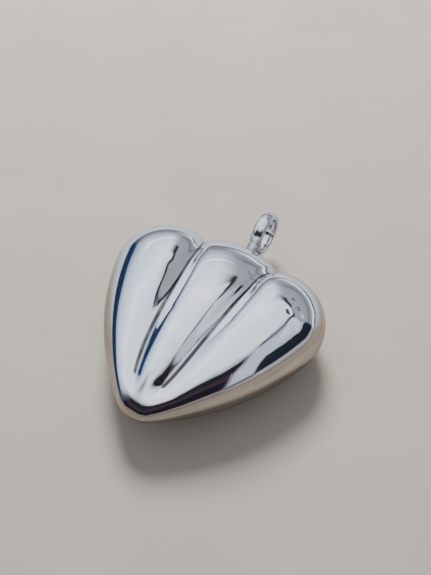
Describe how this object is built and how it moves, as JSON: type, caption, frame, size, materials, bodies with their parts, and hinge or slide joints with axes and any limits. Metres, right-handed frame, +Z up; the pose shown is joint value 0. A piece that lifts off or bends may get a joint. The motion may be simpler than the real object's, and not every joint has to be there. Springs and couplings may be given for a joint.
{
  "type": "puffed heart pendant",
  "caption": "Hollow puffed heart pendant of polished silver-coloured metal, its fanned lobes parted by soft creases, with a fixed upright hanging ring at the top.",
  "frame": {"origin": "centre of the footprint: the middle of the pendant's length and width, on the level of the lowest points of its back", "axes": "+X across the heart, +Y from the tip to the hanging ring, +Z up through the front, with the pendant lying on its back"},
  "size_m": [0.029, 0.035, 0.0114],
  "materials": {
    "polished_silver": "mirror-polished silver with fine handling scratches",
    "ring_silver": "polished cast silver, slightly softer than the heart",
    "silver_solder": "silver solder, satin, a little darker than the sheet"
  },
  "bodies": {
    "root": {"front_shell": "polished_silver", "back_shell": "polished_silver", "seam_solder": "silver_solder", "neck_post": "ring_silver", "neck_solder": "silver_solder", "hanging_ring": "ring_silver"}
  },
  "joints": []
}
